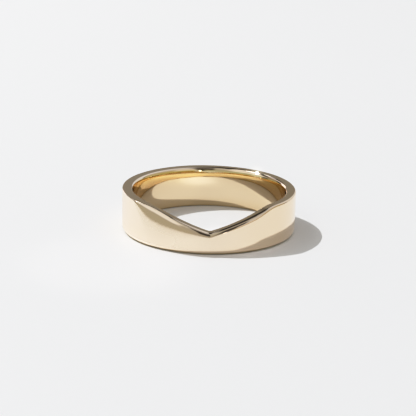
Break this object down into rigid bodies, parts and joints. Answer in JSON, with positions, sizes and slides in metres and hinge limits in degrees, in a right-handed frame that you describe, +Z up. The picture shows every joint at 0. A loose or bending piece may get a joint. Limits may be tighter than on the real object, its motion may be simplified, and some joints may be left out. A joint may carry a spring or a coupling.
{
  "type": "curved wedding band",
  "caption": "Flat polished gold ring band whose rim dips to a shallow point at the front, with softened edges and a round finger bore.",
  "frame": {"origin": "centre of the finger bore on the flat face that the ring rests on", "axes": "+Z up along the finger bore, the dipped point of the rim at -Y, +X to the right seen from the point"},
  "size_m": [0.0188, 0.0188, 0.0046],
  "materials": {
    "gold": "mirror-polished pale yellow 14-karat gold"
  },
  "bodies": {
    "root": {"band": "gold"}
  },
  "joints": []
}
